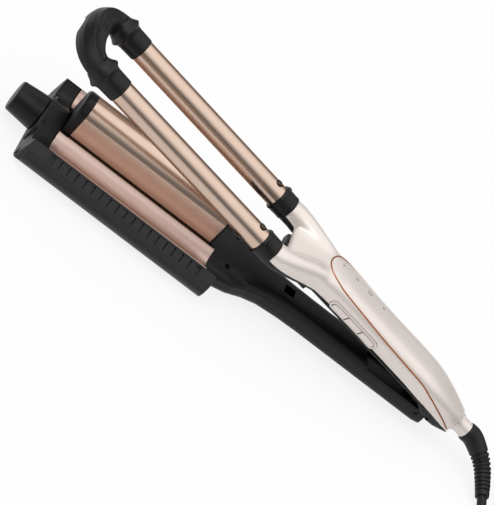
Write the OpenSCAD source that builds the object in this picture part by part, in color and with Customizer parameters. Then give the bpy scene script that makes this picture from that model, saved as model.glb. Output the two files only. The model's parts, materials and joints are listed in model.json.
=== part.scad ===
// Hair waver: two heated tubes on a forked handle close over a lower jaw with
// two heated troughs and a barrel between them, which a dial raises and lowers.
// X runs from the tip to the cord, Z is up, and the jaw's underside is at Z = 0.
// Pieces of the upper arm are drawn with the jaws closed, and opened at the end.

/* [Heated tubes] */
// Diameter of each heated tube
tube_d = 16; // [14:0.5:18]
// Wall of the tube
tube_wall = 1.2; // [0.8:0.1:1.6]
// Visible length of the tube
tube_len = 130; // [110:1:140]
// Distance between the axes of the two tubes
tube_pitch = 50.3; // [49:0.1:54]
// Height of the tubes over the jaw's underside when closed
tube_z = 27.6; // [27:0.1:29]
// Where the tubes begin, from the middle of the jaw
tube_x = -57.5; // [-60:0.5:-56]

/* [Hinge] */
// Place of the hinge pin along the arms
hinge_x = 237; // [232:1:242]
// Height of the hinge pin
hinge_z = 16.5; // [15.5:0.1:17]
// Angle between the open arms
open_angle = 10.74; // [8:0.1:12]
// Diameter of the hinge pin
pin_d = 4; // [3:0.1:4.5]

/* [Jaw] */
// Front face of the jaw's bracket
jaw_x0 = -70.8; // [-74:0.2:-69]
// Rear end of the comb guards
guard_x1 = 72.5; // [66:0.5:78]
// Widest half width of the jaw
jaw_a = 42.5; // [41:0.5:46]
// Height of the edges of the troughs
edge_z = 23; // [22:0.2:24]
// Wall of the jaw's mouldings
wall = 2; // [1.5:0.1:2.4]
// Number of slots in each guard
slots = 19; // [11:1:23]
// Width of a narrow slot
slot_w = 1; // [0.7:0.1:1.6]

/* [Troughs] */
// Half width of a trough between its edges
trough_a = 10; // [8.5:0.1:10.6]
// Depth of a trough
trough_deep = 5; // [3.5:0.1:5.4]
// Thickness of the trough's sheet
trough_t = 1; // [0.6:0.1:1.2]
// Rear end of the troughs
trough_x1 = 64; // [58:0.5:66]

/* [Barrel] */
// Half width of the barrel
barrel_a = 12.4; // [11.5:0.1:13]
// Height of the barrel's crown when raised
barrel_top = 49.8; // [46:0.2:51]
// How far the dial lowers the barrel
lift = 12; // [8:0.5:12]
// Where the barrel's metal begins
barrel_x0 = -53; // [-54:0.5:-50]
// Where the barrel's metal ends
barrel_x1 = 59; // [54:0.5:60]
// Sheet of the barrel
barrel_t = 1.2; // [0.8:0.1:1.6]

/* [Dial] */
// Height of the dial's shaft
dial_z = 14; // [13.6:0.1:14.4]
// Radius of the dial at its rear
dial_r = 12.5; // [11:0.1:13]
// Radius of the dial at its front
dial_r0 = 10.8; // [9:0.1:11.5]
// Length of the dial
dial_len = 19.8; // [16:0.2:22]
// Diameter of the dial's shaft
shaft_d = 6; // [5:0.1:6.4]
// Turn of the dial from the highest to the lowest setting
dial_turn = 270; // [180:10:300]

/* [Handle] */
// Half width of the handle
handle_a = 17; // [16:0.2:18]
// Height of the handle's top over the tube plane
handle_top = 15.4; // [14:0.1:16]
// Wall of the handle's shells
shell_t = 2; // [1.6:0.1:2.4]
// Depth of the black base under the tube plane
base_deep = 4.2; // [3.6:0.1:4.3]
// Travel of a button
press = 0.6; // [0.4:0.1:0.8]
// Length of a button
button_len = 12.4; // [10:0.2:12.6]

/* [Lever] */
// Half width of the lever
lever_a = 13; // [12:0.1:14]
// Underside of the lever
lever_z0 = 6; // [5:0.2:6.4]
// Top of the lever
lever_z1 = 22.8; // [22:0.1:22.9]
// Rear end of the lever
lever_x1 = 244; // [242.5:0.5:246]

/* [Cord] */
// Diameter of the cord
cord_d = 6.6; // [6:0.1:6.8]
// Turns of one layer of the coil
coil_turns = 3.05; // [2.8:0.05:3.2]
// Radius of the innermost loop of the coil
coil_r = 26; // [24:0.5:30]

/* [Hidden] */

// Clearances
gap = 0.3;                       // between pieces that don't fit each other
fit = 0.05;                      // radial play of a running fit
snug = 0.02;                     // radial play of a fixed fit

// Tubes and troughs
tube_r = tube_d / 2;
tube_y = tube_pitch / 2;
bore_r = tube_r - tube_wall;
tube_x1 = tube_x + tube_len;
tube_in = 4;                     // depth of the tube in the cool tip and collar
trough_r = (trough_a * trough_a + trough_deep * trough_deep) / (2 * trough_deep);
trough_z = edge_z - trough_deep + trough_r;
trough_x0 = jaw_x0 + 10.8;
lip_w = 1.1;                     // turned edge of a trough
lip_t = 0.9;

// Jaw
floor_z = wall;
side_r = 13;                     // bottom corner of the jaw
side_z = 13;                     // where the guards sit on the tray
ramp_z = 17.3;                   // lower edge of the slotted face
guard_in = tube_y + trough_a + lip_w;
face_w = 0.88 * (jaw_a - guard_in); // run of the slotted face
top_a = jaw_a - face_w;          // half width at the top edge
slot_x0 = jaw_x0 + 15.5;
slot_x1 = guard_x1 - 12.9;
well_a = barrel_a + 1;           // half width of the barrel's well
well_t = tube_y - trough_a - lip_w + 0.35 - well_a;
rest_z = 12.5;                   // top of the ribs that carry the heaters
nose = 4;                        // reach of the front wall at the floor
nose_r = 12;                     // its round corners in plan
root_a = jaw_a - 8;              // half width of the lever's root
screw_y = jaw_a - 16.5;          // screws under the jaw
saddle_r = tube_r + 1.9;

// Shaft, dial and lift
shaft_r = shaft_d / 2;
dial_x1 = jaw_x0 - 4.3;
boss_r = dial_r + 0.3;
crown = barrel_top - 40.9;       // rise of the crown over its edges
crown_r = (barrel_a * barrel_a + crown * crown) / (2 * crown);
crown_z = barrel_top - crown_r;
barrel_z0 = floor_z + lift + 2;  // lower edge of the barrel when raised
ring_x0 = trough_x0 + 0.5;
cap_x1 = barrel_x1 + 1.5;
frame_z0 = 32;                   // carrier inside the barrel
frame_z1 = 35.5;
post_r = 1.5;
post_y = 5.5;
posts_x = [barrel_x0 + 4, barrel_x1 - 5];
// The posts stop below the lowered barrel's crown
post_z1 = min(frame_z1 - 0.2,
  crown_z + sqrt(pow(crown_r - barrel_t, 2) - pow(post_y + post_r, 2)) - lift - gap);
travel = 18;                     // travel of the sled under the barrel
foot_l = 5;
feet_x = [-20, 24];
sled_z0 = floor_z + gap;
sled_z1 = 4;
ramp_h = (travel + foot_l) * lift / travel;
ramp_y0 = shaft_r + 1.2;
ramp_y1 = 9;
bear_x0 = cap_x1 + 1.1;

// Lever
split_z = 13;
lever_x0 = trough_x1 + gap;
dish_x = 200.5;
dish_r = 11.6;
lug_y = 9.8;
lug_x = 226;
rim_z = 19.2;
knuckle_r = 7.6;
knuckle_y = 9.5;
catch_x = 122.6;
catch_w = 8;

// Handle, in places along the arm from the front of the tubes
hx = tube_x;
hz = tube_z;
yoke_x = -32.3;
collar_x1 = tube_len + 11.5;
branch_x0 = 141.5;
slip = collar_x1 - branch_x0;
panel_x0 = 177;
panel_a = 12;
trim_w = 1.1;
key_x0 = 196;
key_pitch = 14;
key_z = 2.2;
key_h = 4.6;
key_y = -handle_a - 0.2;
lights_x = [184.5, 192.5, 200.5, 208.5, 216.5, 225];
light_y = 4;
light_r = 0.9;
base_screws_x = [190, 270];
end_x = 319.5;
end_r = 7.3;
end_z = -0.5;
neck_r = 6.1;
gland_x = 330;
spigot_r = 3.6;
spring_y = 4.5;
board_x = [192, 286];

// ---- Shapes used by several pieces ----
module xcyl(r, x0, x1, y = 0, z = 0, r2 = 0)
  translate([x0, y, z]) rotate([0, 90, 0])
    cylinder(r1 = r, r2 = r2 > 0 ? r2 : r, h = x1 - x0, $fn = 64);
module ycyl(r, y0, y1, x, z)
  translate([x, y0, z]) rotate([-90, 0, 0]) cylinder(r = r, h = y1 - y0, $fn = 64);
module zcyl(r, z0, z1, x, y)
  translate([x, y, z0]) cylinder(r = r, h = z1 - z0, $fn = 64);
module block(x0, x1, y0, y1, z0, z1)
  translate([x0, y0, z0]) cube([x1 - x0, y1 - y0, z1 - z0]);
module bar(x0, x1, a, z0, z1) block(x0, x1, -a, a, z0, z1);
// A flat outline in Y and Z, drawn out along X
module along_x(x0, x1)
  translate([x0, 0, 0]) rotate([90, 0, 90]) linear_extrude(x1 - x0) children();
// A flat outline in X and Z, drawn out along Y
module along_y(y0, y1)
  translate([0, y1, 0]) rotate([90, 0, 0]) linear_extrude(y1 - y0) children();
module both() {
  children();
  mirror([0, 1, 0]) children();
}
// Turns the upper arm about the hinge from closed to open
module opened()
  translate([hinge_x, 0, hinge_z]) rotate([0, open_angle, 0])
    translate([-hinge_x, 0, -hinge_z]) children();
// Upper arm: X from the front of the tubes, Z from their plane
module arm() opened() translate([hx, 0, hz]) children();
// Handle: places along it follow the ends of the collars
module grip() arm() translate([slip, 0, 0]) children();

// A closed skin over rings of points, from the first ring to the last
module skin(rings) {
  n = len(rings[0]);
  m = len(rings);
  polyhedron(
    points = [for (r = rings) each r],
    faces = concat(
      [for (i = [0:m - 2], j = [0:n - 1]) [i * n + j, (i + 1) * n + j, (i + 1) * n + (j + 1) % n]],
      [for (i = [0:m - 2], j = [0:n - 1]) [i * n + j, (i + 1) * n + (j + 1) % n, i * n + (j + 1) % n]],
      [[for (j = [0:n - 1]) j]],
      [[for (j = [n - 1:-1:0]) (m - 1) * n + j]]),
    convexity = 8);
}
function power(v, e) = sign(v) * pow(abs(v), e);
// Rounded box section at x
function pod(x, a, z0, z1, e = 3.4, n = 24) = [for (j = [0:n - 1])
  let (t = 360 * (j + 0.5) / n)
  [x, a * power(cos(t), 2 / e), (z0 + z1) / 2 + (z1 - z0) / 2 * power(sin(t), 2 / e)]];
// Domed section over its edge at z0, whose middle lies at y, on a skirt of height k
function dome(x, y, a, z0, z1, e, n, k = 0) = [for (j = k > 0 ? [-1:n + 1] : [0:n])
  let (t = 180 * min(max(j, 0), n) / n)
  [x, y + a * power(cos(t), 2 / e),
    j < 0 || j > n ? z0 - k : z0 + (z1 - z0) * power(sin(t), 2 / e)]];
// The same section hanging under its edge
function keel(x, y, a, z0, z1, e, n, k = 0) =
  [for (p = dome(x, y, a, z0, 2 * z0 - z1, e, n, k)) [p[0], 2 * y - p[1], 2 * z0 - p[2]]];

// ---- Jaw ----
module pan_outline(d = 0) {
  a = jaw_a - d;
  r = side_r - d;
  for (s = [-1, 1]) translate([s * (a - r), d + r]) circle(r = r, $fn = 64);
  translate([-(a - r), d]) square([2 * (a - r), 40]);
  translate([-a, d + r]) square([2 * a, 40]);
}
module jaw_outline() intersection() {
  pan_outline();
  polygon([[-jaw_a, -1], [jaw_a, -1], [jaw_a, ramp_z], [top_a, edge_z],
    [-top_a, edge_z], [-jaw_a, ramp_z]]);
}
// Plan of the front wall, with its round corners
module nose_plan() {
  for (s = [-1, 1]) translate([jaw_x0 - nose + nose_r, s * (jaw_a - nose_r)]) circle(r = nose_r, $fn = 64);
  translate([jaw_x0 - nose, nose_r - jaw_a]) square([nose, 2 * (jaw_a - nose_r)]);
}
// Paths of the closed collars and tubes over the jaw
module saddles(x0, x1, r) for (s = [-1, 1]) xcyl(r, x0, x1, s * tube_y, tube_z);

module jaw_tray() color("#202123") {
  difference() {
    intersection() {
      along_x(jaw_x0, guard_x1) difference() {
        pan_outline();
        pan_outline(wall);
      }
      bar(jaw_x0, guard_x1, jaw_a + 1, -1, side_z);
    }
    for (x = [jaw_x0 + 5, guard_x1 - 4], s = [-1, 1]) zcyl(1.5, -1, wall + 1, x, s * screw_y);
  }
  // Front wall, leaning forwards to the floor
  difference() {
    intersection() {
      along_x(jaw_x0 - nose, jaw_x0) jaw_outline();
      linear_extrude(edge_z) nose_plan();
      along_y(-50, 50) polygon([[jaw_x0 - nose, 0], [jaw_x0, 0], [jaw_x0, edge_z], [jaw_x0 - 0.6, edge_z]]);
    }
    xcyl(boss_r + gap, jaw_x0 - nose - 1, jaw_x0 + 1, 0, dial_z);
    saddles(jaw_x0 - nose - 1, jaw_x0 + 1, tube_r + 3.4);
    for (s = [-1, 1]) translate([jaw_x0 - nose - 1, s * (jaw_a - 9.5), 5]) rotate([0, 90, 0])
      cylinder(r = 4, h = 2.2, $fn = 3);
  }
  // Rear wall, open for the lever's root
  difference() {
    intersection() {
      along_x(guard_x1 - wall, guard_x1) jaw_outline();
      union() {
        bar(guard_x1 - wall, guard_x1, jaw_a, 0, side_z);
        bar(guard_x1 - wall, guard_x1, jaw_a - wall - 0.1, side_z - 1, side_z + 3);
      }
    }
    bar(guard_x1 - 5, guard_x1 + 1, root_a + gap, wall, 40);
  }
  // Walls of the barrel's well
  for (s = [0, 1]) mirror([0, s, 0])
    block(trough_x0 + 0.2, trough_x1, well_a, well_a + well_t, floor_z - 0.1, edge_z - lip_t);
  // Ribs that carry the troughs' heaters
  for (s = [0, 1], x = [trough_x0 + 10, 0, trough_x1 - 12]) mirror([0, s, 0])
    block(x, x + 2, tube_y - 6, tube_y + 6, floor_z - 0.1, rest_z);
}

module guard() color("#3a3b3e") difference() {
  along_x(jaw_x0, guard_x1)
    polygon([[-guard_in, edge_z], [-top_a, edge_z], [-jaw_a, ramp_z], [-jaw_a, side_z],
      [-jaw_a + wall, side_z], [-jaw_a + wall, ramp_z - 0.8], [-guard_in, edge_z - 2.2]]);
  for (i = [0:slots - 1]) {
    w = i == 0 || i == slots - 1 ? 2.4 : slot_w;
    x = slot_x0 + i * (slot_x1 - slot_x0) / (slots - 1);
    block(x - w / 2, x + w / 2, -jaw_a + 0.5, -top_a - 0.6, ramp_z - 0.4, edge_z + 1);
  }
}
module guard_near() guard();
module guard_far() mirror([0, 1, 0]) guard();

module trough() color("#e3cfc4") along_x(trough_x0, trough_x1) difference() {
  intersection() {
    union() {
      translate([-tube_y, trough_z]) circle(r = trough_r + trough_t, $fn = 96);
      translate([-tube_y - trough_a - lip_w, edge_z - lip_t]) square([2 * (trough_a + lip_w), lip_t]);
    }
    translate([-tube_y - trough_a - lip_w, 0]) square([2 * (trough_a + lip_w), edge_z]);
  }
  translate([-tube_y, trough_z]) circle(r = trough_r, $fn = 96);
}
module trough_near() trough();
module trough_far() mirror([0, 1, 0]) trough();

module trough_heaters() color("#b9b4ab") both()
  block(trough_x0 + 6, trough_x1 - 6, tube_y - 5.5, tube_y + 5.5, rest_z,
    edge_z - trough_deep - trough_t - 1.2);

module front_bracket() color("#1c1d1f") difference() {
  union() {
    along_x(jaw_x0, trough_x0 - 0.1) difference() {
      intersection() {
          translate([-guard_in + 0.3, floor_z]) square([2 * guard_in - 0.6, edge_z - floor_z]);
          pan_outline(wall);
        }
      for (s = [-1, 1]) translate([s * tube_y, tube_z]) circle(r = saddle_r, $fn = 96);
    }
    xcyl(boss_r, jaw_x0 - nose + 0.2, jaw_x0 + 0.1, 0, dial_z);
    xcyl(boss_r, jaw_x0, trough_x0 - 0.1, 0, dial_z, boss_r - 1);
  }
  saddles(jaw_x0 - 1, jaw_x0 + 1.1, tube_r + 3.4);
  xcyl(shaft_r + fit, jaw_x0 - 10, trough_x0 + 1, 0, dial_z);
  zcyl(1.6, dial_z, edge_z - 1, jaw_x0 + 5, 0);
  for (s = [-1, 1]) zcyl(1.3, floor_z - 1, floor_z + 8, jaw_x0 + 5, s * screw_y);
  // The boss is flat where it stands on the tray's floor
  bar(jaw_x0, trough_x0 + 1, boss_r + 1, 0, floor_z);
}

module rear_bearing() color("#2b2c2e") difference() {
  bar(bear_x0, lever_x0 - 0.2, 8, floor_z, dial_z + 6);
  xcyl(shaft_r + fit, bear_x0 - 1, lever_x0 + 1, 0, dial_z);
}

module detent_ball() color("#c8c9cc") {
  translate([jaw_x0 + 5, 0, dial_z + shaft_r + 1.4]) sphere(r = 1.35, $fn = 32);
  zcyl(1.3, dial_z + shaft_r + 2.9, edge_z - 1.1, jaw_x0 + 5, 0);
}

// ---- Lever and its root behind the jaw ----
module lever_solid(d = 0) skin([
  pod(lever_x0 + d, root_a - d, floor_z + 0.1 + d, 19.5 - d),
  pod(guard_x1 - 0.3, root_a - 0.2 - d, floor_z + 0.1 + d, 20 - d),
  pod(guard_x1 + 3.5, root_a - 7.5 - d, 2.4 + d, 20.5 - d),
  pod(guard_x1 + 14.5, 24 - d, 3 + d, 21 - d),
  pod(guard_x1 + 25.5, 18.6 - d, 4.3 + d, 21.8 - d),
  pod(guard_x1 + 36.5, 15.2 - d, lever_z0 - 0.7 + d, 22.3 - d),
  pod(guard_x1 + 52.5, lever_a + 0.6 - d, lever_z0 - 0.2 + d, lever_z1 - d),
  pod(guard_x1 + 68, lever_a - d, lever_z0 + d, lever_z1 - d),
  pod(lever_x1 - 5, lever_a - d, lever_z0 + d, lever_z1 - d),
  pod(lever_x1 - d, lever_a - 0.8 - d, lever_z0 + 0.8 + d, lever_z1 - 1.4 - d)]);
// What is cut from the lever round the hinge and over its dish
module hinge_room() {
  zcyl(dish_r, split_z + 1.3, 40, dish_x, 0);
  bar(dish_x, lug_x, dish_r, split_z + 1.3, 40);
  zcyl(lever_a + 2, rim_z, 40, dish_x + 2, 0);
  bar(dish_x + 2, lever_x1 + 1, lever_a + 2, rim_z, 40);
  bar(lug_x - 1, lever_x1 + 1, lug_y, hinge_z, 40);
  ycyl(knuckle_r + 0.6, -lug_y, lug_y, hinge_x, hinge_z);
  ycyl(pin_d / 2 + snug, -40, 40, hinge_x, hinge_z);
}
module lever_holes() {
  for (s = [-1, 1]) zcyl(1.9, split_z + 2.5, 40, guard_x1 + 5, s * 16);
  saddles(lever_x0 - 1, guard_x1 + 30, tube_r + 3.4);
}
module lever_cover() color("#232426") difference() {
  lever_solid();
  bar(lever_x0 - 5, lever_x1 + 5, 60, split_z, 60);
  bar(guard_x1 + 4, lug_x - 30, 9, lever_z0 + wall, 60);
  hinge_room();
  for (x = [guard_x1 + 90, lug_x - 6]) zcyl(1.5, lever_z0 - 1, lever_z0 + wall + 2, x, 0);
  for (s = [-1, 1]) zcyl(1.3, 0, 8, guard_x1 - 4, s * screw_y);
}
module lever_lid() color("#1b1c1e") difference() {
  lever_solid();
  bar(lever_x0 - 5, lever_x1 + 5, 60, -5, split_z);
  bar(guard_x1 + 6, dish_x - dish_r - wall, 9, -5, 19);
  bar(catch_x - catch_w / 2, catch_x + catch_w / 2, catch_w / 2, 0, 60);
  hinge_room();
  lever_holes();
}
module hinge_pin() color("#c8c9cc") ycyl(pin_d / 2, -lever_a + 0.8, lever_a - 0.8, hinge_x, hinge_z);

module jaw_screws() color("#8d8f93") {
  for (s = [-1, 1], x = [jaw_x0 + 5, guard_x1 - 4]) zcyl(1.2, 0.4, floor_z + 6, x, s * screw_y);
  for (s = [-1, 1]) zcyl(1.7, split_z + 2.6, split_z + 4.2, guard_x1 + 5, s * 16);
  for (x = [guard_x1 + 90, lug_x - 6]) zcyl(1.4, lever_z0 + 0.5, lever_z0 + wall + 1.9, x, 0);
}
module jaw_wiring() color("#7a2020") for (s = [-1, 1])
  xcyl(1, guard_x1 + 6, lug_x - 32, s * 4, lever_z0 + wall + 1.2);

// ---- Barrel, lift and dial ----
module barrel_outline(d = 0) {
  intersection() {
    translate([0, crown_z]) circle(r = crown_r - d, $fn = 96);
    translate([-(barrel_a - d), barrel_z0]) square([2 * (barrel_a - d), 60]);
  }
  translate([-(barrel_a - d), barrel_z0]) square([2 * (barrel_a - d), crown_z - barrel_z0]);
}
module shaft_slot(x0, x1) bar(x0, x1, shaft_r + 0.4, 0, dial_z + shaft_r + 0.4 + lift);
module barrel_shell() color("#c9ac9c") difference() {
  along_x(barrel_x0, barrel_x1) barrel_outline();
  along_x(barrel_x0 - 1, barrel_x1 + 1) barrel_outline(barrel_t);
  bar(barrel_x0 - 1, barrel_x1 + 1, barrel_a - barrel_t, 0, barrel_z0 + 1);
}
module barrel_front_ring() color("#1c1d1f") difference() {
  union() {
    along_x(ring_x0 + 1.4, barrel_x0) barrel_outline();
    hull() {
      along_x(ring_x0 + 1.35, ring_x0 + 1.4) barrel_outline();
      along_x(ring_x0, ring_x0 + 0.05) barrel_outline(1.1);
    }
  }
  shaft_slot(ring_x0 - 1, barrel_x0 + 1);
}
module barrel_rear_cap() color("#1c1d1f") difference() {
  along_x(barrel_x1, cap_x1) barrel_outline(0.2);
  shaft_slot(barrel_x1 - 1, cap_x1 + 1);
}
module barrel_heater() color("#d8d2c8")
  bar(barrel_x0 + 9, barrel_x1 - 10, 7.4, frame_z1, barrel_top - barrel_t - 3.2);
module barrel_carrier() color("#3c3d40") difference() {
  union() {
    bar(barrel_x0 + 0.2, barrel_x1 - 0.2, barrel_a - barrel_t - gap, frame_z0, frame_z1);
    for (x = feet_x) both() along_y(ramp_y0 + 0.2, ramp_y1 - 0.2)
      polygon([[x, frame_z0 + 0.1], [x, sled_z1 + ramp_h + gap],
        [x + foot_l, sled_z1 + ramp_h - foot_l * lift / travel + gap], [x + foot_l, frame_z0 + 0.1]]);
  }
  for (x = posts_x, s = [-1, 1]) zcyl(post_r + fit, 0, 60, x, s * post_y);
}
module lift_guides() color("#c8c9cc")
  for (x = posts_x, s = [-1, 1]) zcyl(post_r, floor_z, post_z1, x, s * post_y);
module lift_ramp() color("#55565a") difference() {
  union() {
    bar(feet_x[0] - 8, feet_x[1] + travel + foot_l, ramp_y1, sled_z0, sled_z1);
    for (x = feet_x) both() along_y(ramp_y0, ramp_y1)
      polygon([[x, sled_z1 - 0.1], [x, sled_z1 + ramp_h], [x + travel + foot_l, sled_z1],
        [x + travel + foot_l, sled_z1 - 0.1]]);
    bar(feet_x[0] - 8, feet_x[0], ramp_y1, sled_z1 - 0.1, dial_z + shaft_r + 2.5);
  }
  xcyl(shaft_r + fit, feet_x[0] - 9, feet_x[0] + 1, 0, dial_z);
}
module dial_knob() color("#191a1b") difference() {
  translate([dial_x1, 0, dial_z]) rotate([0, -90, 0]) rotate_extrude($fn = 96)
    polygon(concat([[0, 0], [dial_r - 0.4, 0], [dial_r, 0.4]],
      [for (i = [0:5]) let (t = 15 * i + 7) [dial_r0 - 1.6 + 1.6 * cos(t), dial_len - 1.8 + 1.6 * sin(t)]],
      [[dial_r0 * 0.5, dial_len], [0, dial_len + 0.2]]));
  xcyl(shaft_r + snug, dial_x1 - 13, dial_x1 + 1, 0, dial_z);
}
module dial_shaft() color("#b9bbbf") {
  xcyl(shaft_r, dial_x1 - 12.8, lever_x0 - 0.8, 0, dial_z);
  xcyl(shaft_r + 1.2, bear_x0 - 0.8, bear_x0 - 0.1, 0, dial_z);
}

// ---- Upper arm: half widths, heights and depths at places along it ----
branch_y = [[branch_x0, tube_y], [148, tube_y - 0.6], [155, 22.3], [163, 18.6], [172, 14], [182, 9.4]];
branch_a = [[branch_x0, 8.5], [160, 8.8], [182, 8.6]];
branch_top = [[branch_x0, 7.9], [150, 9], [160, 10.9], [172, 12.7], [182, 13.4]];
branch_low = [[branch_x0, -7.8], [150, -7], [160, -5.4], [172, -4.4], [182, 0.2 - base_deep]];
body_a = [[150.5, 5], [153, 9], [158, 14], [165, handle_a], [173, handle_a + 1.5],
  [185, handle_a + 0.9], [200, handle_a], [281, handle_a], [291, handle_a - 0.6],
  [299, handle_a - 1.9], [307, handle_a - 3.5], [313, handle_a - 5.4],
  [317, handle_a - 7.2], [320, handle_a - 8.6]];
body_top = [[150.5, 0.8], [153, 2.6], [158, 5.8], [165, 9.4], [173, 12.2], [185, 14.3],
  [200, 15], [240, handle_top], [270, 16], [282, 15.9], [291, 15.2], [299, 14.2],
  [307, 13.2], [313, 11.9], [317, 10.9], [320, 10]];
body_low = [[148.5, -5], [160, -5], [178, -base_deep], [287, -base_deep], [292, -7.6],
  [297, -11], [302, -12], [309, -11.6], [316, -9.8], [320, -8.8]];
parting = [[148, -0.5], [270, -0.5], [290, -1.6], [299, -2.7], [307, -4], [316, -6], [320, -7.2]];
shell_e = 4;
last = len(body_a) - 1;

// The forms of both shells, and with a depth d the room inside them
module body_solid(d = 0) skin([for (i = d > 0 ? [1:last - 1] : [0:last]) let (x = body_a[i][0])
  dome(x, 0, body_a[i][1] - d, lookup(x, parting), lookup(x, body_top) - d, shell_e, 20, d / 2)]);
module branch_solid(d = 0) skin([for (s = branch_y) let (x = s[0])
  dome(x - d / 8, s[1], lookup(x, branch_a) - d, lookup(x, parting), lookup(x, branch_top) - d,
    2.6, 14, d / 2)]);
module body_keel(d = 0) skin([for (s = body_low)
  let (x = s[0] + (s[0] < 150 ? d : s[0] > 317 ? -d : 0))
  keel(x, 0, lookup(x, body_a) - d, lookup(x, parting), s[1] + d, shell_e, 20, d / 2)]);
module branch_keel(d = 0) skin([for (s = branch_y) let (x = s[0])
  keel(x - d / 8, s[1], lookup(x, branch_a) - d, lookup(x, parting), lookup(x, branch_low) + d,
    2.6, 14, d / 2)]);

// Height of the handle's skin over y, and its reach to the side over z
function skin_z(x, y) = let (z0 = lookup(x, parting))
  z0 + (lookup(x, body_top) - z0) * pow(1 - pow(abs(y) / lookup(x, body_a), shell_e), 1 / shell_e);
function skin_y(x, z) = let (z0 = lookup(x, parting), h = (z - z0) / (lookup(x, body_top) - z0))
  lookup(x, body_a) * pow(1 - pow(max(h, 0), shell_e), 1 / shell_e);
// The trim's line on one side: round the tip, along the panel, down to the end
trim_plan = [[panel_x0, 0], [panel_x0 + 0.8, 4], [panel_x0 + 3.6, 8], [panel_x0 + 8, 10.8],
  [panel_x0 + 14, panel_a], [215, panel_a], [245, panel_a], [270, panel_a], [280, 12.5], [288, 13.5]];
trim_side = [[294, 10.3], [299, 8], [304, 5.3], [309, 2.2], [314, -1.4], [318.5, -4.8]];
trim_line = concat([for (p = trim_plan) [p[0], p[1], skin_z(p[0], p[1])]],
  [for (p = trim_side) [p[0], skin_y(p[0], p[1]), p[1]]]);
function flipped(p) = [p[0], -p[1], p[2]];
trim_path = concat([for (i = [len(trim_line) - 1:-1:1]) flipped(trim_line[i])], trim_line);

// ---- Tubes along a line of points ----
function unit(v) = v / norm(v);
function heading(p, i) = unit(p[min(i + 1, len(p) - 1)] - p[max(i - 1, 0)]);
function hoop(c, t, r, n) = let (u = unit(cross([0, 0, 1], t)), v = cross(t, u))
  [for (j = [0:n - 1]) let (f = 360 * (j + 0.5) / n) c + r * (cos(f) * u + sin(f) * v)];
function hoops(p, r, n) = [for (i = [0:len(p) - 1])
  hoop(p[i], heading(p, i), is_list(r) ? r[i] : r, n)];
function smooth(p, k) = concat([for (i = [0:len(p) - 2], j = [0:k - 1])
  let (t = j / k, a = p[max(i - 1, 0)], b = p[i], c = p[i + 1], d = p[min(i + 2, len(p) - 1)])
  0.5 * (2 * b + (c - a) * t + (2 * a - 5 * b + 4 * c - d) * t * t
    + (3 * b - a - 3 * c + d) * t * t * t)], [p[len(p) - 1]]);
function travelled(p) = len(p) < 2 ? 0 : [for (i = 1, s = 0; i <= len(p);
  s = s + (i < len(p) ? norm(p[i] - p[i - 1]) : 0), i = i + 1) s][len(p) - 1];

module trim_tube(r) skin(hoops(trim_path, r, 8));
// Everything over the panel's edge and behind its side line
module panel_zone() {
  translate([0, 0, 4]) linear_extrude(20) polygon(concat(
    trim_plan, [[294, 14.4], [294, -14.4]],
    [for (i = [len(trim_plan) - 1:-1:1]) [trim_plan[i][0], -trim_plan[i][1]]]));
  along_y(-30, 30) polygon(concat([[288, skin_z(288, 13.5)]], trim_side,
    [[330, -14], [330, 40], [288, 40]]));
}
module key_window(x0, x1, d, y0, y1)
  block(x0 - d, x1 + d, y0, y1, key_z - key_h / 2 - d, key_z + key_h / 2 + d);
keys_x1 = key_x0 + 3 * key_pitch - (key_pitch - button_len);
module bezel_window(d = 0) key_window(key_x0 - 3, keys_x1 + 3, d + 0.8, key_y - 1, -13);

module shell_part() difference() {
  union() {
    body_solid();
    both() branch_solid();
  }
  body_solid(shell_t);
  both() branch_solid(shell_t);
  bezel_window(0.05);
  trim_tube(trim_w / 2);
  xcyl(end_r + 0.1, end_x - 0.5, end_x + 3, 0, end_z);
  xcyl(end_r - 2 + gap, end_x - 9, end_x + 1, 0, end_z);
}
module handle_shell() color("#efe9e4") grip() difference() {
  shell_part();
  panel_zone();
}
module panel_insert() color("#f5f1ec") grip() intersection() {
  difference() {
    shell_part();
    for (x = lights_x) zcyl(light_r + snug, 5, 30, x, light_y);
  }
  panel_zone();
}
module panel_trim() color("#b5764a") grip() trim_tube(trim_w / 2 - 0.01);
module indicator_lights() color("#f3f0e6") grip() for (x = lights_x)
  zcyl(light_r, skin_z(x, light_y) - shell_t - 1, skin_z(x, light_y) - 0.1, x, light_y);

module handle_base() color("#1b1b1d") grip() difference() {
  union() {
    difference() {
      union() {
        body_keel();
        both() branch_keel();
      }
      body_keel(shell_t);
      both() branch_keel(shell_t);
    }
    // Knuckle round the hinge pin, and its neck
    intersection() {
      translate([-hx - slip, 0, -hz]) union() {
        ycyl(knuckle_r, -knuckle_y, knuckle_y, hinge_x, hinge_z);
        block(hinge_x - 5, hinge_x + 6, -knuckle_y, knuckle_y, hinge_z, hz - 4);
      }
      block(hinge_x - hx - slip - 9, hinge_x - hx - slip + 9, -20, 20, -30, -2.4);
    }
  }
  translate([-hx - slip, 0, -hz]) {
    ycyl(pin_d / 2 + fit, -20, 20, hinge_x, hinge_z);
    ycyl(pin_d / 2 + 2.6, -spring_y - 0.8, spring_y + 0.8, hinge_x, hinge_z);
    for (s = [-1, 1]) translate([0, s * (knuckle_y + 5.3), 0]) along_y(-5, 5)
      polygon([[lug_x - 3, 0], [lug_x - 3, rim_z + gap], [hinge_x + 1, rim_z + gap],
        [lever_x1 + 1.6, rim_z + 2], [lever_x1 + 1.6, 0]]);
  }
  bezel_window(0.05);
  xcyl(end_r + 0.1, end_x - 0.5, end_x + 3, 0, end_z);
  xcyl(end_r - 2 + gap, end_x - 9, end_x + 1, 0, end_z);
  for (x = base_screws_x, s = [-1, 1]) zcyl(1.3, -8, -1.5, x, s * 11);
  bar(catch_x - hx - slip - 3, catch_x - hx - slip + 3, 3, -10, 0);
}
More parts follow.
